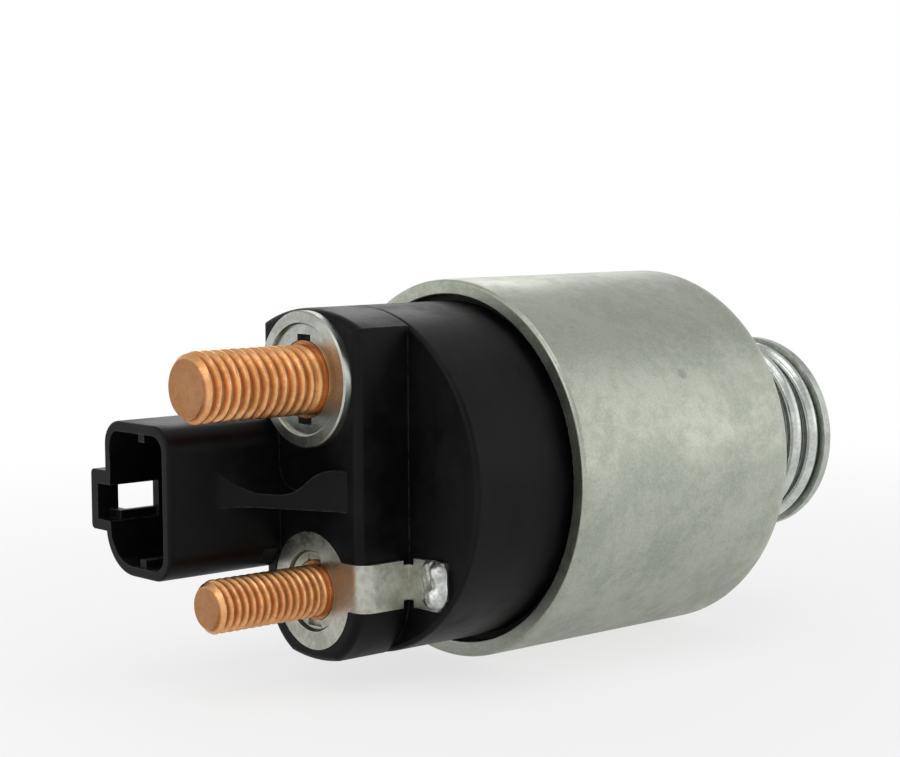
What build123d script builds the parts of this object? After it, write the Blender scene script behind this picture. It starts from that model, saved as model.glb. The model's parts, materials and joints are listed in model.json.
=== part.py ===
"""Starter solenoid: steel can, moulded cap with two studs and a plug socket, plunger and contacts.

Millimetres. The origin is the centre of the can's mounting face, X runs along the
plunger out of that face, and Z points up through the larger stud.
"""

from build123d import *
import math
import os

os.makedirs("parts", exist_ok=True)

# Steel can: a deep-drawn cup, closed at the mounting face, rolled over the cap at its mouth
can_radius = 22.7
can_length = 37.6
can_wall = 1.3
can_end_wall = 3.5
can_end_round = 3.4
can_inside_round = 1.2
can_lip_overlap = 0.6
can_lip_wall = 1.3
can_lip_round = 0.45
can_lip_inner_round = 0.25

# Sunk seat for the return spring in the can's end
spring_seat_depth = 8.7
spring_seat_floor = 2.4
spring_seat_wall = 1.9
spring_seat_round = 0.75
spring_seat_play = 0.9

# Threaded mounting holes in the can's end, drawn at their core size
mount_hole_count = 3
mount_hole_radius = 2.1
mount_hole_wall = 0.35
mount_hole_edge = 4.85
mount_hole_angle = 150.0

# Plunger and what rides on it
plunger_travel = 9.5
plunger_stop_gap = 0.3
plunger_shoulder = 17.7
plunger_cone_height = 2.4
plunger_cone_radius = 5.2
neck_radius = 5.0
neck_length = 6.3
clip_groove_depth = 0.8
lever_groove_depth = 1.7
lever_groove_width = 2.0
neck_head_length = 1.4
neck_chamfer = 0.4
spring_cup_rim = 0.35
spring_cup_thickness = 1.5
spring_cup_round = 0.5
spring_cup_play = 0.1
clip_thickness = 0.9
clip_rim = 1.7
clip_gap_angle = 70.0

# Return spring, wound left-handed; the angle is where its outer end lies, and the pitch of
# closed coils is in wire radii for all the springs
spring_wire_radius = 1.05
spring_bore_play = 0.9
spring_turns = 6.0
closed_coil_pitch = 2.1
spring_closed_part = 0.5
spring_end_play = 0.05
spring_end_angle = 174.5

# Guide sleeve and bobbin
sleeve_play = 0.06
sleeve_wall = 0.5
sleeve_flange_width = 3.0
bobbin_play = 0.1
bobbin_wall = 1.0
bobbin_flange = 1.2
bobbin_rim_play = 0.4
pull_in_depth = 4.44
winding_rim = 0.6

# Fixed core, pressed into the flux plate that closes the magnetic circuit
flux_plate_thickness = 3.5
flux_plate_play = 0.1
core_length = 8.1
core_play = 0.05
core_foot_radius = 6.5
core_bore_play = 0.08
gasket_thickness = 0.8
gasket_width = 2.4

# Cap: skirt, flange under the lip, chamber
cap_lip_gap = 0.7
cap_flange_thickness = 2.1
cap_flange_play = 0.1
cap_skirt_length = 13.8
cap_shoulder_round = 0.6
cap_skirt_wall = 2.2
cap_floor = 4.4

# Terminal block on the cap
block_half_width = 8.6
block_length = 7.4
block_edge_round = 0.9
boss_radius = 8.6

# Studs
stud_edge_distance = 8.0
battery_stud_radius = 4.0
battery_stud_reach = 16.7
battery_head_flats = 11.0
motor_stud_radius = 3.0
motor_stud_reach = 14.5
motor_head_flats = 9.5
contact_stop_gap = 0.3
stud_end_chamfer = 0.7
stud_shank_step = 0.4
stud_play = 0.1
head_socket_depth = 1.2
head_play = 0.12
seal_wire_radius = 0.55
seal_play = 0.02

# Washers: a rimmed one on the block's face, a flat one in the lower strip's dished eye
battery_washer_radius = 7.75
battery_washer_thickness = 0.6
battery_washer_rim_width = 1.5
battery_washer_rim_height = 0.45
motor_washer_thickness = 0.5
motor_washer_play = 0.1
washer_play = 0.1
washer_edge = 0.18
washer_notch_width = 2.4
washer_notch_depth = 0.6
washer_clearance = 0.35
washer_clearance_depth = 2.4

# Plug socket, set to the far side of the studs, a little inside the skirt's radius
shroud_length = 13.8
shroud_inset = 1.55
shroud_width = 12.95
shroud_bottom = -10.25
shroud_height = 17.55
shroud_wall = 1.15
shroud_corner_near = 3.0
shroud_corner_top = 2.8
shroud_corner_bottom = 5.4
shroud_floor_rise = 1.6
shroud_rim_round = 0.35
key_rib_width = 1.1
key_rib_height = 0.95
key_rib_offset = 0.75

# Latch strap and window in the socket's far wall
strap_top = 1.4
strap_bottom = -5.6
strap_reach = 2.8
strap_length = 2.8
strap_wall = 1.3
strap_round = 0.6
latch_slot_top = -0.25
latch_slot_bottom = -4.4
latch_slot_lead = 1.7
latch_groove_depth = 0.45
window_bottom = -3.35
window_length = 6.6

# Web between the block and the socket
web_bottom = -2.4
web_top = 2.2
web_waist = -0.8
web_waist_flat = 1.8
web_waist_slope = 6.3
web_rise = 6.0
web_corner_radius = 5.0
web_flare_radius = 2.8
joint_overlap = 0.5

# Flat terminal inside the socket
blade_width = 6.3
blade_thickness = 0.8
blade_length = 8.2
blade_tail_width = 3.2
blade_tail_length = 3.0
blade_tip_chamfer = 0.5
blade_play = 0.05

# Tinned strip from the lower stud round the block to the shoulder; its leg and its tab are
# placed from the lead that is soldered to it
strip_thickness = 0.6
strip_above_lead = 1.5
strip_below_lead = 3.9
strip_bend_radius = 1.8
strip_eye_radius = 6.75
strip_eye_rim = 1.45
strip_eye_play = 0.05
strip_eye_sunk = 0.7
strip_dish_depth = 0.9
tab_above_lead = 1.8
tab_below_lead = 3.8
tab_beyond_lead = 0.9
tab_edge_inset = 0.7
strip_notch = 0.8

# Winding leads and the solder that joins one to the strip
lead_radius = 0.6
lead_play = 0.15
lead_inset = 5.8
lead_z = -9.7
lead_end_beyond_strip = 0.5
solder_radius = 2.6
solder_height = 1.6
solder_offset_y = 1.3
solder_offset_z = -0.8
solder_side_radius = 1.6
solder_side_height = 1.3
solder_side_rise = 0.7
solder_side_fall = 2.3
signal_lead_joint = 1.6
signal_sleeve_wall = 0.5

# Contact rod, contact plate and their springs
rod_radius = 2.0
rod_travel_ratio = 0.3
rod_push_gap = 0.3
rod_nose = 4.6
rod_end_chamfer = 0.4
rod_collar_radius = 5.0
rod_collar_thickness = 1.0
rod_collar_play = 0.4
bush_radius = 3.6
bush_flange_radius = 5.0
bush_flange = 0.9
bush_play = 0.05
contact_room = 5.8
plate_thickness = 2.0
plate_half_width = 5.6
plate_end_play = 1.2
plate_travel_ratio = 0.06
contact_spring_wire = 0.4
contact_spring_turns = 2.0
rod_clip_radius = 3.6
rod_clip_thickness = 0.8
rod_clip_gap = 0.3
rod_spring_wire = 0.4
rod_spring_radius = 3.5
rod_spring_turns = 4.0
rod_pocket_play = 0.5
rod_pocket_depth = 7.2

# How far a cutting solid runs past what it cuts, and how near a place must be to count as met
cut_margin = 1.0
match_margin = 0.01

# Places that follow from the sizes above
can_bore = can_radius - can_wall
lip_radius = can_bore - can_lip_overlap
mount_circle = can_radius - mount_hole_edge
sunk_outer_radius = mount_circle - mount_hole_radius - mount_hole_wall
spring_seat_radius = sunk_outer_radius - spring_seat_wall
spring_outer_radius = spring_seat_radius - spring_seat_play
spring_cup_radius = spring_outer_radius + spring_cup_rim
plunger_radius = spring_outer_radius - 2 * spring_wire_radius - spring_bore_play
sunk_floor_inside = spring_seat_depth + spring_seat_floor
sleeve_bore = plunger_radius + sleeve_play
sleeve_radius = sleeve_bore + sleeve_wall
bobbin_bore = sleeve_radius + bobbin_play
bobbin_tube = bobbin_bore + bobbin_wall
bobbin_rim = can_bore - bobbin_rim_play
bobbin_start = sunk_floor_inside + sleeve_wall
winding_split = bobbin_tube + pull_in_depth
core_radius = sleeve_bore - core_play
flange_end = can_length - can_lip_wall
flange_start = flange_end - cap_flange_thickness
gasket_start = flange_start - gasket_thickness
flux_plate_start = gasket_start - flux_plate_thickness
core_face = flux_plate_start - core_length
plunger_back = core_face - plunger_travel - plunger_stop_gap
cap_skirt_radius = lip_radius - cap_lip_gap
cap_shoulder = can_length + cap_skirt_length
chamber_radius = cap_skirt_radius - cap_skirt_wall
chamber_floor = cap_shoulder - cap_floor
block_face = cap_shoulder + block_length
stud_height = cap_skirt_radius - stud_edge_distance
battery_stud_end = block_face + battery_stud_reach
motor_stud_end = block_face + motor_stud_reach
lead_y = lead_inset - cap_skirt_radius
strip_top = lead_z + strip_above_lead
strip_bottom = lead_z - strip_below_lead
tab_top = lead_z + tab_above_lead
tab_bottom = lead_z - tab_below_lead
tab_reach = tab_beyond_lead - lead_y
eye_seat = block_face - strip_eye_sunk
eye_bore = strip_eye_radius - strip_eye_rim
eye_front = eye_seat + strip_thickness
dish_front = eye_front - strip_dish_depth
shroud_floor = block_face + shroud_floor_rise
shroud_end = shroud_floor + shroud_length
shroud_far = cap_skirt_radius - shroud_inset
shroud_near = shroud_far - shroud_width
shroud_top = shroud_bottom + shroud_height
shroud_middle_y = (shroud_near + shroud_far) / 2
shroud_middle_z = (shroud_bottom + shroud_top) / 2
window_end = shroud_end - window_length
web_tip = block_face + web_rise
flare_start = shroud_near - web_flare_radius
web_waist_far = flare_start - web_waist_flat
web_waist_near = web_waist_far - web_waist_slope
rod_back = plunger_back + plunger_travel * (1 - rod_travel_ratio) + rod_push_gap
plate_rest = gasket_start + contact_room
plate_front = plate_rest + plate_thickness
plate_travel = plunger_travel * (rod_travel_ratio - plate_travel_ratio)
head_top = plate_front + plate_travel + contact_stop_gap
clip_back = plate_front + bush_flange + rod_clip_gap
rod_front = clip_back + rod_clip_thickness + rod_nose
clip_start = plunger_shoulder + spring_cup_thickness


def turned(*points):
    """Solid turned about the plunger's axis from its (place along X, radius) corners."""
    outline = Polyline(*[(along, 0, radius) for along, radius in points], close=True)
    return revolve(make_face(outline), Axis.X, 360)


def ring(start, end, outer, inner=0.0, y=0.0, z=0.0):
    """Disc or ring along X, between two places and two radii, about an axis at y and z."""
    return Pos(0, y, z) * turned((start, inner), (end, inner), (end, outer), (start, outer))


def slab(start, end, outline):
    """Prism along X from an outline drawn in Y and Z."""
    low = min(start, end)
    return extrude(Plane.YZ.offset(low) * outline, abs(end - start))


def block_between(x_pair, y_pair, z_pair):
    """Box between two places on each axis."""
    corner = Pos(min(x_pair), min(y_pair), min(z_pair))
    box = Box(
        abs(x_pair[1] - x_pair[0]),
        abs(y_pair[1] - y_pair[0]),
        abs(z_pair[1] - z_pair[0]),
        align=(Align.MIN, Align.MIN, Align.MIN),
    )
    return corner * box


def coil(start, end, wire, middle_radius, turns, end_angle=0.0):
    """Left-handed compression spring along X: closed ends, and even turns between them."""
    reach = end - start - 2 * (wire + spring_end_play)
    end_pitch = closed_coil_pitch * wire
    closed_height = spring_closed_part * end_pitch
    open_height = reach - 2 * closed_height
    first = Helix(end_pitch, closed_height, middle_radius, lefthand=True)
    middle = Helix(open_height / turns, open_height, middle_radius, lefthand=True)
    middle = Pos(0, 0, closed_height) * Rot(0, 0, -360 * spring_closed_part) * middle
    last = Helix(end_pitch, closed_height, middle_radius, lefthand=True)
    last = Pos(0, 0, closed_height + open_height) * Rot(0, 0, -360 * (spring_closed_part + turns)) * last
    path = Wire([first.edge(), middle.edge(), last.edge()])
    section = Plane(origin=path @ 0, z_dir=path % 0) * Circle(wire)
    spring = sweep(section, path=path, is_frenet=True)
    start_angle = end_angle + 90 + 360 * (2 * spring_closed_part + turns)
    return Pos(start + wire + spring_end_play, 0, 0) * Rot(0, 90, 0) * Rot(0, 0, start_angle) * spring


def rim(solid, along, radius):
    """The circular edge of a turned solid at one place along X and one radius."""
    found = []
    for edge in solid.edges().filter_by(GeomType.CIRCLE):
        at_place = abs(edge.arc_center.X - along) < match_margin
        on_axis = math.hypot(edge.arc_center.Y, edge.arc_center.Z) < match_margin
        if at_place and on_axis and abs(edge.radius - radius) < match_margin:
            found.append(edge)
    return found


def edges_at(solid, along):
    """The edges of a solid that lie in one plane across X."""
    return solid.edges().filter_by_position(Axis.X, along - match_margin, along + match_margin)


def write(solid, name):
    """Write one piece under its own name."""
    export_step(solid, "parts/" + name + ".step")


# Can
can = turned(
    (0, spring_seat_radius),
    (0, can_radius),
    (-can_length, can_radius),
    (-can_length, lip_radius),
    (-can_length + can_lip_wall, lip_radius),
    (-can_length + can_lip_wall, can_bore),
    (-can_end_wall, can_bore),
    (-can_end_wall, sunk_outer_radius),
    (-sunk_floor_inside, sunk_outer_radius),
    (-sunk_floor_inside, sleeve_bore + sleeve_play),
    (-spring_seat_depth, sleeve_bore + sleeve_play),
    (-spring_seat_depth, spring_seat_radius),
)
can = fillet(rim(can, 0, can_radius), can_end_round)
can = fillet(rim(can, -can_length, can_radius), can_lip_round)
can = fillet(rim(can, -can_length, lip_radius), can_lip_inner_round)
can = fillet(rim(can, -can_end_wall, can_bore), can_inside_round)
can = fillet(rim(can, -spring_seat_depth, spring_seat_radius), spring_seat_round)
for index in range(mount_hole_count):
    angle = math.radians(mount_hole_angle + 360 / mount_hole_count * index)
    hole_y = mount_circle * math.cos(angle)
    hole_z = mount_circle * math.sin(angle)
    can -= ring(-can_end_wall - cut_margin, cut_margin, mount_hole_radius, 0, hole_y, hole_z)
write(can, "can")

# Guide sleeve, flanged behind the sunk floor, with its far end round the core
sleeve = turned(
    (-sunk_floor_inside, sleeve_bore),
    (-sunk_floor_inside, sleeve_radius + sleeve_flange_width),
    (-sunk_floor_inside - sleeve_wall, sleeve_radius + sleeve_flange_width),
    (-sunk_floor_inside - sleeve_wall, sleeve_radius),
    (-flux_plate_start, sleeve_radius),
    (-flux_plate_start, sleeve_bore),
)
write(sleeve, "guide_sleeve")

# Bobbin with two flanges, slotted for the leads
bobbin = turned(
    (-bobbin_start, bobbin_bore),
    (-bobbin_start, bobbin_rim),
    (-bobbin_start - bobbin_flange, bobbin_rim),
    (-bobbin_start - bobbin_flange, bobbin_tube),
    (-flux_plate_start + bobbin_flange, bobbin_tube),
    (-flux_plate_start + bobbin_flange, bobbin_rim),
    (-flux_plate_start, bobbin_rim),
    (-flux_plate_start, bobbin_bore),
)
lead_hole = lead_radius + lead_play
signal_y = shroud_middle_y
signal_z = shroud_middle_z
for hole_y, hole_z in ((lead_y, lead_z), (signal_y, signal_z)):
    bobbin -= ring(-flux_plate_start, -flux_plate_start + bobbin_flange, lead_hole, 0, hole_y, hole_z)
write(bobbin, "bobbin")

# Pull-in winding inside, hold-in winding outside it
winding_start = bobbin_start + bobbin_flange
winding_end = flux_plate_start - bobbin_flange
winding_outer = bobbin_rim - winding_rim
write(ring(-winding_end, -winding_start, winding_split, bobbin_tube), "pull_in_winding")
write(ring(-winding_end, -winding_start, winding_outer, winding_split), "hold_in_winding")

# Flux plate and the core riveted through it
rod_hole = rod_radius + core_bore_play
plate_bore = core_foot_radius
flux_plate = ring(-gasket_start, -flux_plate_start, can_bore - flux_plate_play, plate_bore)
for hole_y, hole_z in ((lead_y, lead_z), (signal_y, signal_z)):
    flux_plate -= ring(-gasket_start, -flux_plate_start, lead_hole, 0, hole_y, hole_z)
write(flux_plate, "flux_plate")
core = turned(
    (-core_face, rod_hole),
    (-core_face, plunger_cone_radius),
    (-core_face - plunger_cone_height, core_radius),
    (-flux_plate_start, core_radius),
    (-flux_plate_start, core_foot_radius),
    (-gasket_start, core_foot_radius),
    (-gasket_start, rod_hole),
)
write(core, "fixed_core")

# Gasket between the flux plate and the cap's flange
gasket_radius = can_bore - cap_flange_play
gasket = ring(-flange_start, -gasket_start, gasket_radius, gasket_radius - gasket_width)
write(gasket, "gasket")


def shroud_outline(inset):
    """Socket section in Y and Z, with its own radius at each corner, set in by a wall."""
    near = shroud_near + inset
    far = shroud_far - inset
    low = shroud_bottom + inset
    high = shroud_top - inset
    corner_near = shroud_corner_near - inset
    corner_top = shroud_corner_top - inset
    corner_bottom = shroud_corner_bottom - inset
    bend = math.sqrt(0.5)
    line = Line((near, low + corner_near), (near, high - corner_near))
    line += ThreePointArc(
        (near, high - corner_near),
        (near + corner_near * (1 - bend), high - corner_near * (1 - bend)),
        (near + corner_near, high),
    )
    line += Line((near + corner_near, high), (far - corner_top, high))
    line += ThreePointArc(
        (far - corner_top, high),
        (far - corner_top * (1 - bend), high - corner_top * (1 - bend)),
        (far, high - corner_top),
    )
    line += Line((far, high - corner_top), (far, low + corner_bottom))
    line += ThreePointArc(
        (far, low + corner_bottom),
        (far - corner_bottom * (1 - bend), low + corner_bottom * (1 - bend)),
        (far - corner_bottom, low),
    )
    line += Line((far - corner_bottom, low), (near + corner_near, low))
    line += ThreePointArc(
        (near + corner_near, low),
        (near + corner_near * (1 - bend), low + corner_near * (1 - bend)),
        (near, low + corner_near),
    )
    return make_face(line)


# Cap: the skirt and its flange
cap = turned(
    (-flange_start, chamber_radius),
    (-flange_start, can_bore - cap_flange_play),
    (-flange_end, can_bore - cap_flange_play),
    (-flange_end, cap_skirt_radius),
    (-cap_shoulder, cap_skirt_radius),
    (-cap_shoulder, 0),
    (-chamber_floor, 0),
    (-chamber_floor, chamber_radius),
)
cap = fillet(rim(cap, -cap_shoulder, cap_skirt_radius), cap_shoulder_round)

# Terminal block: flats on both sides, round below the lower stud, the skirt's radius above
upper_height = cap_skirt_radius + stud_height
upper = Pos(0, upper_height / 2 - stud_height) * Rectangle(2 * block_half_width, upper_height)
lower = Pos(0, -stud_height) * Circle(boss_radius)
outline = (upper + lower) & Circle(cap_skirt_radius)
block = slab(-block_face, -cap_shoulder, outline)
block = fillet(edges_at(block, -block_face), block_edge_round)
cap += block

# Web from the block's near flat to the socket, waisted under the upper stud's nut
corner = Vector(-web_tip, shroud_near)
start = Vector(-block_face + block_edge_round, -block_half_width)
heading = (corner - start).normalized()
turn = heading.get_angle(Vector(-1, 0))
setback = web_corner_radius * math.tan(math.radians(turn / 2))
plan_start = corner - heading * setback
plan_end = corner + Vector(-setback, 0)
plan = Line((start.X, start.Y), (plan_start.X, plan_start.Y))
plan += TangentArc((plan_start.X, plan_start.Y), (plan_end.X, plan_end.Y), tangent=(heading.X, heading.Y))
inside_x = start.X + joint_overlap
inside_y = shroud_near + joint_overlap
plan += Line((plan_end.X, plan_end.Y), (plan_end.X, inside_y))
plan += Line((plan_end.X, inside_y), (inside_x, inside_y))
plan += Line((inside_x, inside_y), (inside_x, start.Y))
plan += Line((inside_x, start.Y), (start.X, start.Y))
web = extrude(Plane.XY.offset(web_bottom) * make_face(plan), web_top - web_bottom + web_flare_radius)
web_high = web_top + web_flare_radius + cut_margin
web_side = start.Y - cut_margin
above = Line((web_side, web_top), (web_waist_near, web_top))
above += Spline(
    (web_waist_near, web_top),
    ((web_waist_near + web_waist_far) / 2, (web_top + web_waist) / 2),
    (web_waist_far, web_waist),
    tangents=((1, 0), (1, 0)),
)
above += Line((web_waist_far, web_waist), (flare_start, web_waist))
above += TangentArc(
    (flare_start, web_waist),
    (shroud_near, web_waist + web_flare_radius),
    tangent=(1, 0),
)
above += Line((shroud_near, web_waist + web_flare_radius), (shroud_near, web_high))
above += Line((shroud_near, web_high), (web_side, web_high))
above += Line((web_side, web_high), (web_side, web_top))
web -= slab(-shroud_end, -cap_shoulder, make_face(above))
web -= block_between(
    (-shroud_end, -cap_shoulder), (shroud_near, shroud_far), (web_waist + web_flare_radius, web_high)
)
cap += web

# Plug socket: an open box with four different corners, running back to the shoulder
shroud = slab(-shroud_end, -cap_shoulder, shroud_outline(0))
cavity = slab(-shroud_end, -shroud_floor, shroud_outline(shroud_wall))
shroud = fillet(edges_at(shroud, -shroud_end), shroud_rim_round)
strap = block_between(
    (-shroud_end, -shroud_end + strap_length),
    (shroud_far - shroud_wall, shroud_far + strap_reach),
    (strap_bottom, strap_top),
)
strap = fillet(strap.edges().filter_by(Axis.X).sort_by(Axis.Y)[2:], strap_round)
cap = cap + shroud + strap - cavity

# Key ribs in the roof and the floor of the socket
rib_y = shroud_middle_y - key_rib_offset
for low, high in (
    (shroud_top - shroud_wall - key_rib_height, shroud_top - shroud_wall + joint_overlap),
    (shroud_bottom + shroud_wall - joint_overlap, shroud_bottom + shroud_wall + key_rib_height),
):
    cap += block_between(
        (-shroud_end + shroud_rim_round, -shroud_floor),
        (rib_y - key_rib_width / 2, rib_y + key_rib_width / 2),
        (low, high),
    )

# Latch slot inside the strap, its groove along the far wall, and the window behind it
cap -= block_between(
    (-shroud_end - cut_margin, -shroud_end + strap_length + cut_margin),
    (shroud_far - shroud_wall - cut_margin, shroud_far + strap_reach - strap_wall),
    (window_bottom, latch_slot_top),
)
cap -= block_between(
    (-shroud_end - cut_margin, -shroud_end + latch_slot_lead),
    (shroud_far - shroud_wall - cut_margin, shroud_far + strap_reach - strap_wall),
    (latch_slot_bottom, latch_slot_top),
)
cap -= block_between(
    (-shroud_end, -window_end),
    (shroud_far - shroud_wall - cut_margin, shroud_far - shroud_wall + latch_groove_depth),
    (latch_slot_bottom, latch_slot_top),
)
cap -= block_between(
    (-shroud_end, -window_end),
    (shroud_far - shroud_wall - cut_margin, shroud_far + cut_margin),
    (window_bottom, latch_slot_top),
)

# Room for the washer and the strip's eye where the socket's corners come near them
for height, radius in ((stud_height, battery_washer_radius), (-stud_height, strip_eye_radius)):
    cap -= ring(
        -block_face - washer_clearance_depth, -block_face, radius + washer_clearance, 0, 0, height
    )

# Seat for the strip's dished eye, and the way out of it round the block's near edge
leg_outer = -block_half_width - strip_thickness
bend_inner = strip_bend_radius - strip_thickness
cap -= ring(-block_face - cut_margin, -eye_seat, strip_eye_radius + strip_eye_play, 0, 0, -stud_height)
dish_floor = dish_front - strip_thickness
cap -= ring(-eye_seat - cut_margin, -dish_floor, eye_bore + strip_eye_play, 0, 0, -stud_height)
way_out = block_between((-block_face - cut_margin, -eye_seat), (leg_outer, 0), (strip_bottom, strip_top))
bend_room = block_between(
    (-eye_seat, -eye_seat + bend_inner),
    (-block_half_width, -block_half_width + bend_inner),
    (strip_bottom, strip_top),
)
bend_core = Cylinder(bend_inner, strip_top - strip_bottom, align=(Align.CENTER, Align.CENTER, Align.MIN))
bend_core = Pos(-eye_seat + bend_inner, -block_half_width + bend_inner, strip_bottom) * bend_core
cap -= way_out + (bend_room - bend_core)

# Stud holes, their hexagon seats and seal grooves in the chamber's floor
for height, radius, flats in (
    (stud_height, battery_stud_radius, battery_head_flats),
    (-stud_height, motor_stud_radius, motor_head_flats),
):
    shank = radius + stud_shank_step
    cap -= ring(-block_face - cut_margin, -chamber_floor + cut_margin, shank + stud_play, 0, 0, height)
    seat = RegularPolygon(flats / 2 + head_play, 6, major_radius=False)
    cap -= slab(-chamber_floor - head_socket_depth, -chamber_floor + cut_margin, Pos(0, height) * seat)
    groove = shank + stud_play + 2 * seal_wire_radius
    cap -= ring(
        -chamber_floor - head_socket_depth - 2 * seal_wire_radius,
        -chamber_floor - head_socket_depth,
        groove,
        0,
        0,
        height,
    )

# Pocket for the rod's return spring, tunnels for the lead and the flat terminal's tail
rod_pocket_radius = rod_spring_radius + rod_pocket_play
cap -= ring(-chamber_floor - rod_pocket_depth, -chamber_floor + cut_margin, rod_pocket_radius)
cap -= ring(-cap_shoulder - cut_margin, -flange_start + cut_margin, lead_hole, 0, lead_y, lead_z)
tail_room = block_between(
    (-shroud_floor - cut_margin, -chamber_floor + cut_margin),
    (signal_y - blade_thickness / 2 - blade_play, signal_y + blade_thickness / 2 + blade_play),
    (signal_z - blade_tail_width / 2 - blade_play, signal_z + blade_tail_width / 2 + blade_play),
)
cap -= tail_room
write(cap, "cap")


def stud(radius, height, washer_face, end, head_flats):
    """Stud with a hexagon head in the chamber; its thread, at its outer size, starts at the washer."""
    seat = chamber_floor + head_socket_depth
    shank = ring(-end, -seat, radius, 0, 0, height)
    shank += ring(-washer_face, -seat, radius + stud_shank_step, 0, 0, height)
    shank = chamfer(edges_at(shank, -end), stud_end_chamfer)
    head = Pos(0, height) * RegularPolygon(head_flats / 2, 6, major_radius=False)
    return shank + slab(-seat, -head_top, head)


battery_face = block_face + battery_washer_thickness
motor_face = dish_front + motor_washer_thickness
battery_stud = stud(battery_stud_radius, stud_height, battery_face, battery_stud_end, battery_head_flats)
write(battery_stud, "battery_stud")
motor_stud = stud(motor_stud_radius, -stud_height, motor_face, motor_stud_end, motor_head_flats)
write(motor_stud, "motor_stud")


def seal(radius, height):
    """Rubber ring in the groove under a stud's head."""
    place = chamber_floor + head_socket_depth + seal_wire_radius
    middle = radius + stud_shank_step + stud_play / 2 + seal_wire_radius
    section = Plane.XZ * Pos(-place, middle) * Circle(seal_wire_radius - seal_play)
    return Pos(0, 0, height) * revolve(section, Axis.X, 360)


write(seal(battery_stud_radius, stud_height), "battery_stud_seal")
write(seal(motor_stud_radius, -stud_height), "motor_stud_seal")


def notches(bore, height):
    """Two square notches in a washer's bore, above and below the stud."""
    reach = bore + washer_notch_depth
    half_width = washer_notch_width / 2
    return block_between((-shroud_end, 0), (-half_width, half_width), (height - reach, height + reach))


battery_bore = battery_stud_radius + stud_shank_step + washer_play
rim_front = battery_face + battery_washer_rim_height
rim_inner = battery_washer_radius - battery_washer_rim_width
battery_washer = turned(
    (-block_face, battery_bore),
    (-block_face, battery_washer_radius),
    (-rim_front, battery_washer_radius),
    (-rim_front, rim_inner),
    (-battery_face, rim_inner),
    (-battery_face, battery_bore),
)
battery_washer = chamfer(rim(battery_washer, -rim_front, battery_washer_radius), washer_edge)
battery_washer = chamfer(rim(battery_washer, -rim_front, rim_inner), washer_edge)
write(Pos(0, 0, stud_height) * battery_washer - notches(battery_bore, stud_height), "battery_stud_washer")
motor_bore = motor_stud_radius + stud_shank_step + washer_play
motor_washer_radius = eye_bore - strip_thickness - motor_washer_play
motor_washer = ring(-motor_face, -dish_front, motor_washer_radius, motor_bore)
motor_washer = chamfer(rim(motor_washer, -motor_face, motor_washer_radius), washer_edge)
write(Pos(0, 0, -stud_height) * motor_washer - notches(motor_bore, -stud_height), "motor_stud_washer")

# Tinned strip: dished eye, leg bent round the block's near edge, tab on the shoulder
near_flat = -block_half_width
strip_hole = motor_stud_radius + stud_shank_step + stud_play
eye = turned(
    (-eye_seat, strip_eye_radius),
    (-eye_front, strip_eye_radius),
    (-eye_front, eye_bore - strip_thickness),
    (-dish_front, eye_bore - strip_thickness),
    (-dish_front, strip_hole),
    (-dish_floor, strip_hole),
    (-dish_floor, eye_bore),
    (-eye_seat, eye_bore),
)
leg_box = block_between((-eye_front, -cap_shoulder), (leg_outer, 0), (strip_bottom, strip_top))
outer_corner = edges_at(leg_box, -eye_front).filter_by(Axis.Z).sort_by(Axis.Y)[:1]
leg_box = fillet(outer_corner, strip_bend_radius)
inside = block_between(
    (-eye_seat, -cap_shoulder + cut_margin),
    (near_flat, cut_margin),
    (strip_bottom - cut_margin, strip_top + cut_margin),
)
inner_corner = edges_at(inside, -eye_seat).filter_by(Axis.Z).sort_by(Axis.Y)[:1]
inside = fillet(inner_corner, bend_inner)
leg = leg_box - inside
leg -= ring(-eye_front - cut_margin, -eye_seat + cut_margin, eye_bore, 0, 0, -stud_height)
strip = Pos(0, 0, -stud_height) * eye + leg
tab = block_between(
    (-cap_shoulder - strip_thickness, -cap_shoulder),
    (-tab_reach, near_flat),
    (tab_bottom, tab_top),
)
tab &= ring(-cap_shoulder - strip_thickness, -cap_shoulder, cap_skirt_radius - tab_edge_inset)
strip += tab
for level in (tab_top, tab_bottom):
    strip -= block_between(
        (-cap_shoulder - strip_thickness - strip_notch, -cap_shoulder + cut_margin),
        (leg_outer - strip_notch, near_flat + cut_margin),
        (level - strip_notch, level + strip_notch),
    )
strip_hole_end = -cap_shoulder - strip_thickness - cut_margin
strip -= ring(strip_hole_end, -cap_shoulder + cut_margin, lead_hole, 0, lead_y, lead_z)
write(strip, "terminal_strip")

# Lead of the pull-in winding, out through the shoulder and the strip
lead_tip = cap_shoulder + strip_thickness + lead_end_beyond_strip
lead = ring(-lead_tip, -winding_end, lead_radius, 0, lead_y, lead_z)
write(lead, "winding_lead")

# Solder over the lead's end: a low dome with two smaller ones run down beside it
solder_base = cap_shoulder + strip_thickness


def dome(radius, height, y, z):
    """Low round dome, a cap of a sphere, standing on the strip's tab."""
    sphere_radius = (radius * radius + height * height) / (2 * height)
    ball = Pos(-solder_base + sphere_radius - height, y, z) * Sphere(sphere_radius)
    keep = ring(-solder_base - height, -solder_base, radius, 0, y, z)
    return ball & keep


solder = dome(solder_radius, solder_height, lead_y + solder_offset_y, lead_z + solder_offset_z)
solder += dome(solder_side_radius, solder_side_height, lead_y, lead_z + solder_side_rise)
lobe_y = lead_y + solder_side_radius
solder += dome(solder_side_radius, solder_side_height, lobe_y, lead_z - solder_side_fall)
solder -= ring(-lead_tip, -solder_base + cut_margin, lead_radius, 0, lead_y, lead_z)
write(solder, "solder_joint")

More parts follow.
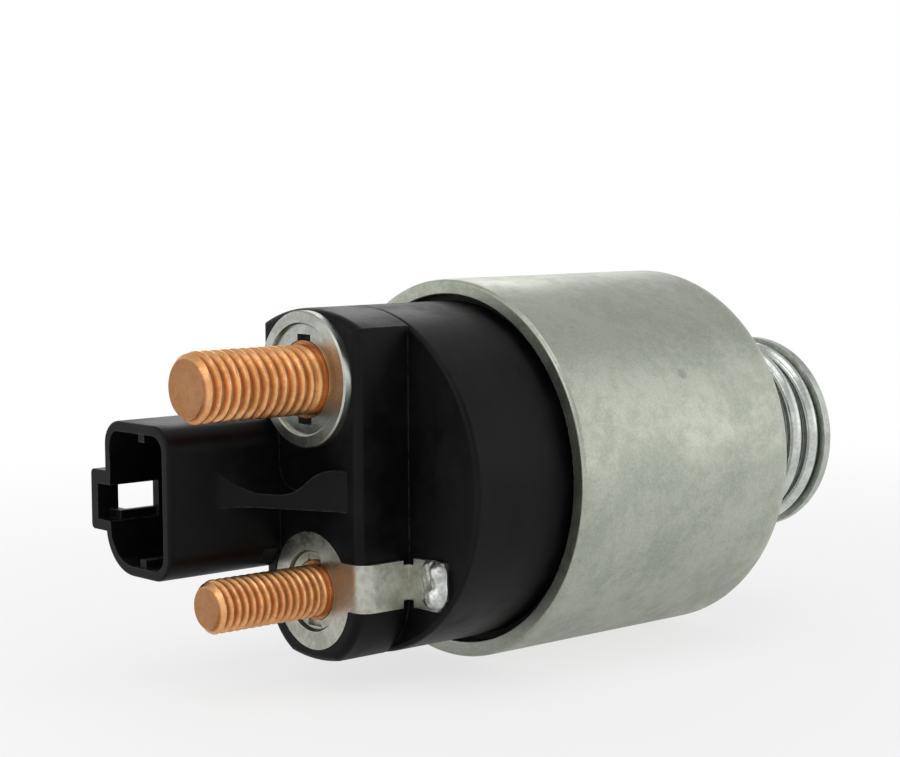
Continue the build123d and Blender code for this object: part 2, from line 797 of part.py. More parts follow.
# Flat terminal: blade in the socket, tail through the floor
blade_tip = shroud_floor + blade_length
tail_end = chamber_floor - blade_tail_length
blade = Pos(signal_y, signal_z) * Rectangle(blade_thickness, blade_width)
terminal = slab(-blade_tip, -shroud_floor, blade)
terminal = chamfer(edges_at(terminal, -blade_tip).filter_by(Axis.Y), blade_tip_chamfer)
tail = Pos(signal_y, signal_z) * Rectangle(blade_thickness, blade_tail_width)
terminal += slab(-shroud_floor, -tail_end, tail)
write(terminal, "signal_terminal")

# Lead from both windings to the flat terminal, wrapped beside its tail
signal_lead = ring(-tail_end, -winding_end, lead_radius, 0, signal_y, signal_z)
sleeve_outer = blade_tail_width / 2 + signal_sleeve_wall
sleeve_ends = (-tail_end - signal_lead_joint, -tail_end + signal_lead_joint)
joint_sleeve = ring(*sleeve_ends, sleeve_outer, 0, signal_y, signal_z)
joint_room = block_between(
    (-tail_end - signal_lead_joint, -tail_end),
    (signal_y - blade_thickness / 2, signal_y + blade_thickness / 2),
    (signal_z - blade_tail_width / 2, signal_z + blade_tail_width / 2),
)
signal_lead += joint_sleeve - joint_room
write(signal_lead, "signal_lead")

# Plunger: coned inner end, shoulder for the spring cup, neck with two grooves
groove_radius = neck_radius - clip_groove_depth
lever_radius = neck_radius - lever_groove_depth
neck_end = plunger_shoulder + neck_length
lever_end = neck_end - neck_head_length
lever_start = lever_end - lever_groove_width
plunger = turned(
    (-plunger_back, 0),
    (-plunger_back, plunger_cone_radius),
    (-plunger_back - plunger_cone_height, plunger_radius),
    (plunger_shoulder, plunger_radius),
    (plunger_shoulder, neck_radius),
    (clip_start, neck_radius),
    (clip_start, groove_radius),
    (clip_start + clip_thickness, groove_radius),
    (clip_start + clip_thickness, neck_radius),
    (lever_start, neck_radius),
    (lever_start, lever_radius),
    (lever_end, lever_radius),
    (lever_end, neck_radius),
    (neck_end, neck_radius),
    (neck_end, 0),
)
plunger = chamfer(rim(plunger, neck_end, neck_radius), neck_chamfer)
write(plunger, "plunger")
cup = ring(plunger_shoulder, clip_start, spring_cup_radius, neck_radius + spring_cup_play)
cup = fillet(rim(cup, clip_start, spring_cup_radius), spring_cup_round)
write(cup, "spring_cup")
clip_outer = neck_radius + clip_rim
clip = ring(clip_start, clip_start + clip_thickness, clip_outer, groove_radius)
half_gap = math.radians(clip_gap_angle / 2)
gap_reach = (clip_outer + cut_margin) / math.cos(half_gap)
gap = make_face(
    Polyline(
        (0, 0),
        (-gap_reach * math.sin(half_gap), -gap_reach * math.cos(half_gap)),
        (gap_reach * math.sin(half_gap), -gap_reach * math.cos(half_gap)),
        close=True,
    )
)
clip -= slab(clip_start - cut_margin, clip_start + clip_thickness + cut_margin, gap)
write(clip, "retaining_ring")

# Return spring between the sunk seat and the spring cup
spring = coil(
    -spring_seat_depth,
    plunger_shoulder,
    spring_wire_radius,
    spring_outer_radius - spring_wire_radius,
    spring_turns,
    spring_end_angle,
)
write(spring, "return_spring")

# Contact rod through the core, with the collar that its contact spring pushes from
collar_back = gasket_start + rod_collar_play
collar_front = collar_back + rod_collar_thickness
rod = ring(-rod_front, -rod_back, rod_radius)
rod = chamfer(rim(rod, -rod_back, rod_radius), rod_end_chamfer)
rod += ring(-collar_front, -collar_back, rod_collar_radius, rod_radius)
write(rod, "contact_rod")

# Insulating bush through the plate, flanged on the spring's side
bush_bore = rod_radius + bush_play
bush_back = plate_rest - bush_flange
bush = turned(
    (-bush_back, bush_bore),
    (-bush_back, bush_flange_radius),
    (-plate_rest, bush_flange_radius),
    (-plate_rest, bush_radius),
    (-plate_front - bush_flange, bush_radius),
    (-plate_front - bush_flange, bush_bore),
)
write(bush, "contact_bush")
plate_end = chamber_radius - plate_end_play
plate_outline = Rectangle(2 * plate_half_width, 2 * (plate_end - plate_half_width))
for side in (-1, 1):
    plate_outline += Pos(0, side * (plate_end - plate_half_width)) * Circle(plate_half_width)
plate = slab(-plate_front, -plate_rest, plate_outline)
plate -= ring(-plate_front - cut_margin, -plate_rest + cut_margin, bush_radius + bush_play)
write(plate, "contact_plate")

# Clip on the rod in front of the bush, and the two small springs
rod_clip = ring(-clip_back - rod_clip_thickness, -clip_back, rod_clip_radius, rod_radius)
write(rod_clip, "rod_clip")
contact_spring = coil(
    -bush_back,
    -collar_front,
    contact_spring_wire,
    bush_flange_radius - contact_spring_wire,
    contact_spring_turns,
)
write(contact_spring, "contact_spring")
rod_spring = coil(
    -chamber_floor - rod_pocket_depth,
    -clip_back - rod_clip_thickness,
    rod_spring_wire,
    rod_spring_radius - rod_spring_wire,
    rod_spring_turns,
)
write(rod_spring, "rod_return_spring")
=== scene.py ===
# %% [markdown]
# # A starter solenoid
#
# The switch on a car's starter motor: a zinc-plated steel can with a coil inside, a black
# moulded cap with two threaded copper studs and a plug socket, and a plunger that sticks
# out of the can's far end with a spring round it. The measured solids are loaded first
# and stay where they are. The cells below give them their finishes, and add what solids
# draw badly: threads, a closed-end spring and a blob of solder.

# %% Load the measured solids
import json
import math

import bpy
import numpy as np
from mathutils import Matrix, Vector

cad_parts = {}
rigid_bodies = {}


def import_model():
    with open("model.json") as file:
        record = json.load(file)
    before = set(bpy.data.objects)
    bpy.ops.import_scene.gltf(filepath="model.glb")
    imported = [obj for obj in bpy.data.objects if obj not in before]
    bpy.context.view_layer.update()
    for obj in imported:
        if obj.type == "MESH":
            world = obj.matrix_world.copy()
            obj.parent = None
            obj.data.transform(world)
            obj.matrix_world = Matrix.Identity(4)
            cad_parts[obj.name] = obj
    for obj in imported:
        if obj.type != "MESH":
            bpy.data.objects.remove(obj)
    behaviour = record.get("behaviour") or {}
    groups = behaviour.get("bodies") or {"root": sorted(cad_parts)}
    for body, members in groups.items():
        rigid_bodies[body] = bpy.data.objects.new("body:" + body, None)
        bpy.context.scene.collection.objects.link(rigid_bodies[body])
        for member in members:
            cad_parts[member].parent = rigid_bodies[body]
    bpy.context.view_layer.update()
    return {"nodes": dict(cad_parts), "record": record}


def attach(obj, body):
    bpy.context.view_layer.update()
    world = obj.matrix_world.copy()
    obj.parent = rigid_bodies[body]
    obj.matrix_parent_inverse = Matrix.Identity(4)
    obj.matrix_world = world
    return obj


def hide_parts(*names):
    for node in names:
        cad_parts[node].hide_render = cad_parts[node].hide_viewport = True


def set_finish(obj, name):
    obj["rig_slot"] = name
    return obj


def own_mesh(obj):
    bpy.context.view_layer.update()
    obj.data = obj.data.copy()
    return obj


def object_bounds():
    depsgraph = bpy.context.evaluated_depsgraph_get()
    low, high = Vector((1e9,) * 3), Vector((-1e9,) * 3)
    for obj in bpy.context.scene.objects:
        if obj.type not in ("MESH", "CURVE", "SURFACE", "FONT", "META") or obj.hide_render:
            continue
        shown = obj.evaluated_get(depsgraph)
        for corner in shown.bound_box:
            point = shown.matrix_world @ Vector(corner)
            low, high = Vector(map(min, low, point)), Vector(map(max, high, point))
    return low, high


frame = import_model()

# %% [markdown]
# ## The camera
#
# The photograph was taken from the terminal end, a little above the middle of the part.
# A camera can be typed in as angles and a distance, or worked out by lining up drawn
# circles with the outlines of the can, the cap and the studs. The second way was used
# here, and its result is three numbers for where the lens is and three for how it is
# turned. A camera looks along its own minus Z, so the columns of its matrix are right,
# up and back.

# %% Place the camera
CAMERA_AZIMUTH = math.radians(-41.747)
CAMERA_ELEVATION = math.radians(5.084)
CAMERA_ROLL = math.radians(-0.338)
CAMERA_PLACE = Vector((-0.20372, -0.18634, 0.03301))
LENS_MM = 83.904


def camera_axes(azimuth, elevation, roll):
    """Right, up and back: back points from the part to the lens, and roll turns the other two."""
    back = Vector((
        math.sin(azimuth) * math.cos(elevation),
        -math.cos(azimuth) * math.cos(elevation),
        math.sin(elevation),
    ))
    level = Vector((math.cos(azimuth), math.sin(azimuth), 0.0))
    plumb = back.cross(level)
    right = level * math.cos(roll) + plumb * math.sin(roll)
    up = plumb * math.cos(roll) - level * math.sin(roll)
    return right, up, back


def place_camera():
    """A lens of a known length, put where the lining up found it and turned the same way."""
    data = bpy.data.cameras.new("camera")
    data.sensor_fit = "HORIZONTAL"
    data.sensor_width = 36.0
    data.lens = LENS_MM
    data.clip_start = 0.01
    data.clip_end = 20.0
    camera = bpy.data.objects.new("camera", data)
    bpy.context.scene.collection.objects.link(camera)
    right, up, back = camera_axes(CAMERA_AZIMUTH, CAMERA_ELEVATION, CAMERA_ROLL)
    turned = Matrix((right, up, back)).transposed()
    camera.matrix_world = Matrix.Translation(CAMERA_PLACE) @ turned.to_4x4()
    bpy.context.scene.camera = camera


place_camera()
bpy.context.scene.view_settings.view_transform = "Standard"
print("lens", LENS_MM, "mm, distance", round(CAMERA_PLACE.length, 3), "m")

# %% [markdown]
# ## Surfaces from numbers
#
# Turned and coiled pieces are easiest to write as a grid: one number runs along the
# piece, the other runs round it, and a formula gives the point for each pair. The whole
# grid is worked out as arrays, and the faces follow from the order of the points, so
# nothing loops over vertices.

# %% Make a mesh from a grid of points
def grid_faces(rows, columns, around):
    """Quads between neighbouring rows; with around set, the last column joins the first."""
    index = np.arange(rows * columns).reshape(rows, columns)
    here = index if around else index[:, :-1]
    beside = np.roll(index, -1, axis=1) if around else index[:, 1:]
    quads = np.stack((here[:-1], beside[:-1], beside[1:], here[1:]), axis=-1)
    return quads.reshape(-1, 4)


def mesh_piece(name, points, faces, sharp_angle=50.0):
    """A smooth object at the origin from points in metres; corners over the angle stay sharp."""
    mesh = bpy.data.meshes.new(name)
    mesh.from_pydata(points.tolist(), [], faces)
    mesh.validate()
    mesh.update()
    mesh.polygons.foreach_set("use_smooth", np.ones(len(mesh.polygons), dtype=bool))
    mesh.set_sharp_from_angle(angle=math.radians(sharp_angle))
    piece = bpy.data.objects.new(name, mesh)
    bpy.context.scene.collection.objects.link(piece)
    return piece


def closed_sleeve(name, rings, sharp_angle=50.0):
    """A tube from rings of points (rows, columns, 3), closed at both ends by one point each."""
    rows, columns, _ = rings.shape
    faces = grid_faces(rows, columns, True)
    first = rings[0].mean(axis=0)
    last = rings[-1].mean(axis=0)
    points = np.vstack((rings.reshape(-1, 3), first, last))
    turn = np.arange(columns)
    ahead = np.roll(turn, -1)
    start_fan = np.stack((ahead, turn, np.full(columns, rows * columns)), axis=-1)
    base = (rows - 1) * columns
    end_fan = np.stack((base + turn, base + ahead, np.full(columns, rows * columns + 1)), axis=-1)
    every_face = faces.tolist() + start_fan.tolist() + end_fan.tolist()
    return mesh_piece(name, points, every_face, sharp_angle)


def write_values(piece, label, values):
    """One number per point, for a finish to read; the two end points get the first and the last."""
    flat = values.reshape(-1)
    flat = np.concatenate((flat, flat[:1], flat[-1:])).astype(np.float32)
    layer = piece.data.attributes.new(label, "FLOAT", "POINT")
    layer.data.foreach_set("value", flat)


print("a 4 by 6 grid closed round has", len(grid_faces(4, 6, True)), "quads")

# %% [markdown]
# ## Threaded studs
#
# Both studs are rolled copper bolts. A thread can be cut by sweeping a V along a helix,
# or written as one height for each place along the stud and each angle round it: the
# radius drops by the thread's depth wherever the place, less the turn's share of the
# pitch, falls in a groove. That second way gives a closed surface with no overlaps, and
# the chamfer, the run-out at the washer and the hexagon head are only other radii along
# the same rows. Sizes are in millimetres, and places along X are those of the solids.

# %% Shape a stud
MM = 0.001
ROOT_SHARE = 0.12
FLANK_SHARE = 0.70
ROUNDED_SHARE = 0.35
ROWS_PER_PITCH = 14
RUN_OUT_PITCHES = 1.2
FACE_SHARES = np.array([0.12, 0.45, 0.78, 0.93])
FACE_DISH = np.array([0.10, 0.08, 0.03, 0.0])
HEAD_MIDDLE_SHARE = 0.1


def smoothed(share):
    """Zero to one with level ends: three times the square less twice the cube."""
    return share * share * (3 - 2 * share)


def thread_drop(along, angle, pitch, depth):
    """Depth below the crest: a V with rounded root and crest, which climbs one pitch a turn."""
    phase = np.mod(along / pitch - angle / (2 * np.pi), 1.0)
    valley = np.abs(2 * phase - 1)
    flank = np.clip((valley - ROOT_SHARE) / FLANK_SHARE, 0, 1)
    eased = ROUNDED_SHARE * smoothed(flank) + (1 - ROUNDED_SHARE) * flank
    return depth * (1 - eased)


def hexagon_radius(angle, across_flats):
    """Distance from the middle to a hexagon's side, with flats facing up and down."""
    sector = np.mod(angle, np.pi / 3) - np.pi / 6
    return across_flats / 2 / np.cos(sector)


def stud_rings(size, columns=96):
    """Rings from the tip to the head; along is measured from the tip back to the washer.

    The thread's radius is the crest's less its drop, which fades out before the washer, and
    no more than the cone of the chamfer. Each ring's place is then turned into y and z.
    """
    pitch, radius = size["pitch"], size["radius"]
    angle = np.linspace(0, 2 * np.pi, columns, endpoint=False)[None, :]
    threaded = size["washer"] - size["tip"]
    along = np.linspace(0, threaded, int(threaded / pitch * ROWS_PER_PITCH))[:, None]
    drop = thread_drop(along, angle, pitch, size["depth"])
    run_out = np.clip((threaded - along) / (RUN_OUT_PITCHES * pitch), 0, 1)
    crest = radius - drop * run_out
    chamfer = radius - size["chamfer"] + along
    body = np.minimum(crest, chamfer)
    body_x = size["tip"] + along + 0 * angle
    face_r = FACE_SHARES[:, None] * (radius - size["chamfer"]) + 0 * angle
    face_x = size["tip"] + FACE_DISH[:, None] + 0 * angle
    shank_x = np.array([size["washer"], size["seat"]])[:, None] + 0 * angle
    shank_r = np.array([size["shank"], size["shank"]])[:, None] + 0 * angle
    hexagon = hexagon_radius(angle, size["flats"])
    head_x = np.array([size["seat"], size["head"], size["head"]])[:, None] + 0 * angle
    head_r = np.vstack((hexagon, hexagon, HEAD_MIDDLE_SHARE * hexagon))
    x = np.vstack((face_x, body_x, shank_x, head_x))
    r = np.vstack((face_r, body, shank_r, head_r))
    turned = np.broadcast_to(angle, x.shape)
    y = r * np.cos(turned)
    z = r * np.sin(turned) + size["height"]
    groove = np.vstack((0 * face_r, drop * run_out / size["depth"], 0 * shank_r, 0 * head_r))
    return np.stack((x, y, z), axis=-1) * MM, groove


BATTERY_STUD = dict(
    pitch=1.25, radius=4.0, depth=0.68, tip=-75.5, chamfer=0.7, washer=-59.4,
    shank=4.4, seat=-48.2, head=-43.78, flats=11.0, height=12.1,
)
MOTOR_STUD = dict(
    pitch=1.0, radius=3.0, depth=0.55, tip=-73.3, chamfer=0.7, washer=-58.3,
    shank=3.4, seat=-48.2, head=-43.78, flats=9.5, height=-12.1,
)
for node, size in (("battery_stud", BATTERY_STUD), ("motor_stud", MOTOR_STUD)):
    rings, groove = stud_rings(size)
    stud = closed_sleeve(node + "_threaded", rings)
    write_values(stud, "groove", groove)
    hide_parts(node)
    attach(stud, "housing")
    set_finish(stud, "copper")
    print(stud.name, "rings", rings.shape[0], "faces", len(stud.data.polygons))

# %% [markdown]
# ## Springs
#
# Each spring lies nearly flat for part of a turn at both ends, so that it stands square, with open
# turns between. The wire's middle line is a helix whose pitch eases from that low pitch to the open
# pitch and back. A circle carried along that line, at right angles to it, gives the wire. The solids
# draw the pitch as three straight stretches; here it changes smoothly.

# %% Wind a spring
RINGS_PER_TURN = 72


def eased_rise(turns, total, closed, end_pitch, reach):
    """Place along the axis at each turn: slow while closed, even between, slow again."""
    openness = smoothed(np.clip(np.minimum(turns, total - turns) / (2 * closed), 0, 1))
    step = np.gradient(turns)
    closed_part = np.cumsum(end_pitch * (1 - openness) * step)
    open_part = np.cumsum(openness * step)
    left = reach - closed_part[-1]
    rise = closed_part + open_part * left / open_part[-1]
    return (rise - rise[0]) * reach / (rise[-1] - rise[0])


def spring_rings(size, columns=20):
    """A circle of the wire's radius carried along the helix, across its own direction.

    The helix is at the radius times the cosine and the sine of an angle that turns evenly,
    while x rises as eased_rise says.
    """
    total = size["turns"]
    t = np.linspace(0, total, int(total * RINGS_PER_TURN))
    rise = eased_rise(t, total, size["closed"], size["end_pitch"], size["reach"])
    x = size["start"] + size["wire"] + rise
    theta = size["phase"] + size["hand"] * 2 * np.pi * t
    middle = np.stack((x, size["radius"] * np.cos(theta), size["radius"] * np.sin(theta)), axis=-1)
    forward = np.gradient(middle, axis=0)
    forward /= np.linalg.norm(forward, axis=1, keepdims=True)
    outward = np.stack((0 * theta, np.cos(theta), np.sin(theta)), axis=-1)
    across = np.cross(forward, outward)
    around = np.linspace(0, 2 * np.pi, columns, endpoint=False)
    circle = (
        outward[:, None, :] * np.cos(around)[None, :, None]
        + across[:, None, :] * np.sin(around)[None, :, None]
    )
    return (middle[:, None, :] + size["wire"] * circle) * MM


RETURN_SPRING = dict(
    start=-8.65, reach=24.2, wire=1.05, radius=11.55, turns=7.0, closed=0.35,
    end_pitch=0.3, phase=math.radians(72), hand=-1,
)
ROD_SPRING = dict(
    start=-54.15, reach=10.1, wire=0.4, radius=3.1, turns=5.0, closed=0.5,
    end_pitch=0.84, phase=0.0, hand=-1,
)
CONTACT_SPRING = dict(
    start=-38.25, reach=2.6, wire=0.4, radius=4.6, turns=3.0, closed=0.5,
    end_pitch=0.84, phase=0.0, hand=-1,
)
SPRINGS = (
    ("return_spring", RETURN_SPRING, "housing", "plunger_slide", -0.0087, 0.64),
    ("rod_return_spring", ROD_SPRING, "housing", "contact_rod_slide", -0.0542, 0.74),
    ("contact_spring", CONTACT_SPRING, "rod_set", "contact_plate_slide", -0.0348, 0.83),
)
for node, size, body, joint, anchor, kept in SPRINGS:
    spring = closed_sleeve(node + "_wound", spring_rings(size))
    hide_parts(node)
    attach(spring, body)
    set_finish(spring, "spring_steel")
    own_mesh(spring)
    print(spring.name, "faces", len(spring.data.polygons))

# %% [markdown]
# ## Lumpy solder
#
# The wire's end is soldered to the tinned tab. Solder that froze while it was being
# dragged has soft lobes and a few sharp creases. It is written as a height over the
# tab: the upper outline of several round bumps of different heights, melted together a
# little, with a fold or two from a sine, and its edge drawn down to the tab. Each lobe is
# its middle's y and z, its radius and its height, in millimetres.

# %% Shape the solder
TAB_FACE = -52.0
SOLDER_MIDDLE = (-13.35, -10.45)
SOLDER_REACH = (2.45, 2.9)
LOBES = (
    (-14.5, -8.9, 1.35, 1.15),
    (-14.1, -11.8, 1.90, 1.40),
    (-14.4, -10.1, 1.20, 0.80),
    (-12.7, -10.2, 1.40, 0.35),
    (-12.6, -12.2, 1.25, 0.70),
    (-12.8, -8.6, 1.20, 0.30),
)
MELT = 7
CREASE_DEPTH = 0.07
LEAST_HEIGHT = 0.10
FOOT_SHARE = 0.16


def solder_height(y, z):
    """Height over the tab: round bumps joined by a soft maximum, with shallow creases."""
    total = np.zeros_like(y)
    for lobe_y, lobe_z, radius, height in LOBES:
        far = np.hypot(y - lobe_y, z - lobe_z) / radius
        total += np.exp(MELT * height * np.clip(1 - far ** 2, -0.4, 1))
    soft = np.log(total) / MELT
    crease = CREASE_DEPTH * np.sin(5.1 * y + 1.3 * z) * np.sin(3.7 * z - 2.1 * y)
    return np.clip(soft, 0, None) + crease


def solder_rings(rows=34, columns=90):
    """Rings from the foot to the top; the outline wanders in and out with the lobes."""
    angle = np.linspace(0, 2 * np.pi, columns, endpoint=False)[None, :]
    share = np.linspace(1, 0.02, rows)[:, None]
    wander = 0.04 * np.sin(3 * angle + 0.6) + 0.04 * np.sin(5 * angle + 2.0)
    outline = 1 + wander + 0.02 * np.sin(8 * angle)
    y = SOLDER_MIDDLE[0] + SOLDER_REACH[0] * share * outline * np.cos(angle)
    z = SOLDER_MIDDLE[1] + SOLDER_REACH[1] * share * outline * np.sin(angle)
    foot = np.clip((1 - share) / FOOT_SHARE, 0, 1) ** 0.5
    x = TAB_FACE - foot * (LEAST_HEIGHT + solder_height(y, z))
    return np.stack((x, y, z), axis=-1) * MM


solder = closed_sleeve("solder_lumps", solder_rings(), sharp_angle=80.0)
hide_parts("solder_joint")
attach(solder, "housing")
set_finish(solder, "solder")
print("solder faces", len(solder.data.polygons))

# %% [markdown]
# ## Surface effects shared by several finishes
#
# No metal or plastic on this part is one flat colour. Zinc plating is cloudy and has a
# few dark pinholes, turned and stamped pieces carry fine rings, edges that rub are
# brighter, and moulded plastic has a fine eggshell grain and a little pale dust. Each
# effect is one node group, built once: it gives out a mask or a height, and the finish
# that uses it decides the colours.

# %% Helpers for node groups
def new_group(name, inputs, outputs):
    """An empty group: inputs as (name, kind, value), outputs as (name, kind)."""
    group = bpy.data.node_groups.new(name, "ShaderNodeTree")
    for label, kind, value in inputs:
        socket = group.interface.new_socket(name=label, in_out="INPUT", socket_type=kind)
        socket.default_value = value
    for label, kind in outputs:
        group.interface.new_socket(name=label, in_out="OUTPUT", socket_type=kind)
    entry = group.nodes.new("NodeGroupInput")
    leave = group.nodes.new("NodeGroupOutput")
    entry.location = (-900, 0)
    leave.location = (700, 0)
    return group, entry, leave


class Sketch:
    """Short calls for adding and joining nodes in one tree."""

    def __init__(self, tree):
        self.tree = tree
        self.place = 0

    def node(self, kind, **settings):
        """Add one node, laid out in rows of seven."""
        node = self.tree.nodes.new(kind)
        row, column = divmod(self.place, 7)
        node.location = (-700 + 180 * column, 300 - 240 * row)
        self.place += 1
        for name, value in settings.items():
            setattr(node, name, value)
        return node

    def set(self, socket, source):
        """Give an input a constant, or join it to another node's output."""
        if isinstance(source, bpy.types.NodeSocket):
            self.tree.links.new(source, socket)
        else:
            socket.default_value = source

    def math(self, operation, first, second=0.5, clamp=False):
        """One step of arithmetic on two values or outputs."""
        node = self.node("ShaderNodeMath", operation=operation, use_clamp=clamp)
        self.set(node.inputs[0], first)
        self.set(node.inputs[1], second)
        return node.outputs[0]

    def noise(self, vector, scale, detail=3.0, roughness=0.55):
        """Soft noise around a half; scale is in cells a metre for places in metres."""
        node = self.node("ShaderNodeTexNoise")
        self.set(node.inputs["Vector"], vector)
        self.set(node.inputs["Scale"], scale)
        self.set(node.inputs["Detail"], detail)
        self.set(node.inputs["Roughness"], roughness)
        return node.outputs["Fac"]

    def span(self, value, low, high, start=0.0, end=1.0):
        """Stretch low to high onto start to end, with soft ends."""
        node = self.node("ShaderNodeMapRange", interpolation_type="SMOOTHSTEP")
        self.set(node.inputs["Value"], value)
        self.set(node.inputs["From Min"], low)
        self.set(node.inputs["From Max"], high)
        self.set(node.inputs["To Min"], start)
        self.set(node.inputs["To Max"], end)
        return node.outputs["Result"]

    def mix(self, share, first, second):
        """The first colour where share is 0 and the second where it is 1."""
        node = self.node("ShaderNodeMix", data_type="RGBA")
        self.set(node.inputs["Factor"], share)
        self.set(node.inputs[6], first)
        self.set(node.inputs[7], second)
        return node.outputs[2]


FLOAT = "NodeSocketFloat"
VECTOR = "NodeSocketVector"
print("helpers ready")

# %% [markdown]
# ### Cloudy plating with pinholes
#
# Plating clouds come from uneven current in the bath: two sizes of soft noise laid over
# each other. Pinholes are rare and small, so they are the middles of scattered cells,
# and only the few cells whose own random number is high have one.

# %% Group: plating clouds and pinholes
def plating_group():
    """Clouds from two sizes of noise, a fine grain, and pinholes in a few cells."""
    group, entry, leave = new_group(
        "plating",
        [
            ("Vector", VECTOR, (0, 0, 0)),
            ("Cloud Scale", FLOAT, 160.0),
            ("Pinhole Scale", FLOAT, 260.0),
        ],
        [("Clouds", FLOAT), ("Grain", FLOAT), ("Pinholes", FLOAT)],
    )
    sketch = Sketch(group)
    vector = entry.outputs["Vector"]
    scale = entry.outputs["Cloud Scale"]
    broad = sketch.noise(vector, scale, 4.0, 0.6)
    small = sketch.noise(vector, sketch.math("MULTIPLY", scale, 4.6), 3.0, 0.6)
    most = sketch.math("MULTIPLY", broad, 0.62)
    rest = sketch.math("MULTIPLY", small, 0.38)
    sketch.set(leave.inputs["Clouds"], sketch.span(sketch.math("ADD", most, rest), 0.36, 0.64))
    fine = sketch.noise(vector, sketch.math("MULTIPLY", scale, 26.0), 2.0, 0.7)
    sketch.set(leave.inputs["Grain"], fine)
    cells = sketch.node("ShaderNodeTexVoronoi", feature="F1")
    sketch.set(cells.inputs["Vector"], vector)
    sketch.set(cells.inputs["Scale"], entry.outputs["Pinhole Scale"])
    picked = sketch.node("ShaderNodeSeparateColor")
    sketch.set(picked.inputs[0], cells.outputs["Color"])
    chosen = sketch.span(picked.outputs[0], 0.93, 0.96)
    near = sketch.span(cells.outputs["Distance"], 0.10, 0.17, 1.0, 0.0)
    sketch.set(leave.inputs["Pinholes"], sketch.math("MULTIPLY", chosen, near))
    return group


PLATING = plating_group()
print(PLATING.name, [item.name for item in PLATING.interface.items_tree])

# %% [markdown]
# ### Bright edges
#
# A bevelled normal bends where a surface turns sharply, so the angle between it and the
# true normal marks the edges. A little noise breaks the line up, because handling never
# rubs an edge evenly.

# %% Group: edge rub
def edge_group():
    """A mask of the edges, where the bevelled normal leaves the true one, broken by noise."""
    group, entry, leave = new_group(
        "edge_rub",
        [("Vector", VECTOR, (0, 0, 0)), ("Width", FLOAT, 0.0003)],
        [("Mask", FLOAT)],
    )
    sketch = Sketch(group)
    bevel = sketch.node("ShaderNodeBevel", samples=6)
    sketch.set(bevel.inputs["Radius"], entry.outputs["Width"])
    truth = sketch.node("ShaderNodeNewGeometry")
    turn = sketch.node("ShaderNodeVectorMath", operation="DOT_PRODUCT")
    sketch.set(turn.inputs[0], bevel.outputs["Normal"])
    sketch.set(turn.inputs[1], truth.outputs["Normal"])
    bent = sketch.span(turn.outputs["Value"], 0.80, 0.99, 1.0, 0.0)
    broken = sketch.span(sketch.noise(entry.outputs["Vector"], 900.0, 3.0, 0.6), 0.32, 0.62)
    sketch.set(leave.inputs["Mask"], sketch.math("MULTIPLY", bent, broken))
    return group


EDGE_RUB = edge_group()
print(EDGE_RUB.name, "ready")

# %% [markdown]
# ### Fine rings from turning
#
# A lathe leaves rings at a steady place along X and a steady distance from the axis.
# Noise that is read with only those two numbers is the same all the way round, so it
# draws rings on a cylinder and circles on a flat face.

# %% Group: turning marks
def turning_group():
    """Noise that is read with the place along X and the distance from the axis alone."""
    group, entry, leave = new_group(
        "turning",
        [
            ("Vector", VECTOR, (0, 0, 0)),
            ("Density", FLOAT, 5000.0),
            ("Centre Height", FLOAT, 0.0),
        ],
        [("Rings", FLOAT)],
    )
    sketch = Sketch(group)
    parts = sketch.node("ShaderNodeSeparateXYZ")
    sketch.set(parts.inputs[0], entry.outputs["Vector"])
    height = sketch.math("SUBTRACT", parts.outputs["Z"], entry.outputs["Centre Height"])
    across = sketch.math("MULTIPLY", parts.outputs["Y"], parts.outputs["Y"])
    upward = sketch.math("MULTIPLY", height, height)
    radius = sketch.math("SQRT", sketch.math("ADD", across, upward), 0.0)
    flat = sketch.node("ShaderNodeCombineXYZ")
    sketch.set(flat.inputs["X"], parts.outputs["X"])
    sketch.set(flat.inputs["Y"], radius)
    rings = sketch.noise(flat.outputs[0], entry.outputs["Density"], 3.0, 0.7)
    sketch.set(leave.inputs["Rings"], rings)
    return group


TURNING = turning_group()
print(TURNING.name, "ready")

# %% [markdown]
# ### Moulded grain and dust
#
# Moulded nylon copies the eggshell of its steel mould, and its glass fibres show as a
# very fine unevenness. Dust settles on faces that look up, and a few pale specks cling
# anywhere.

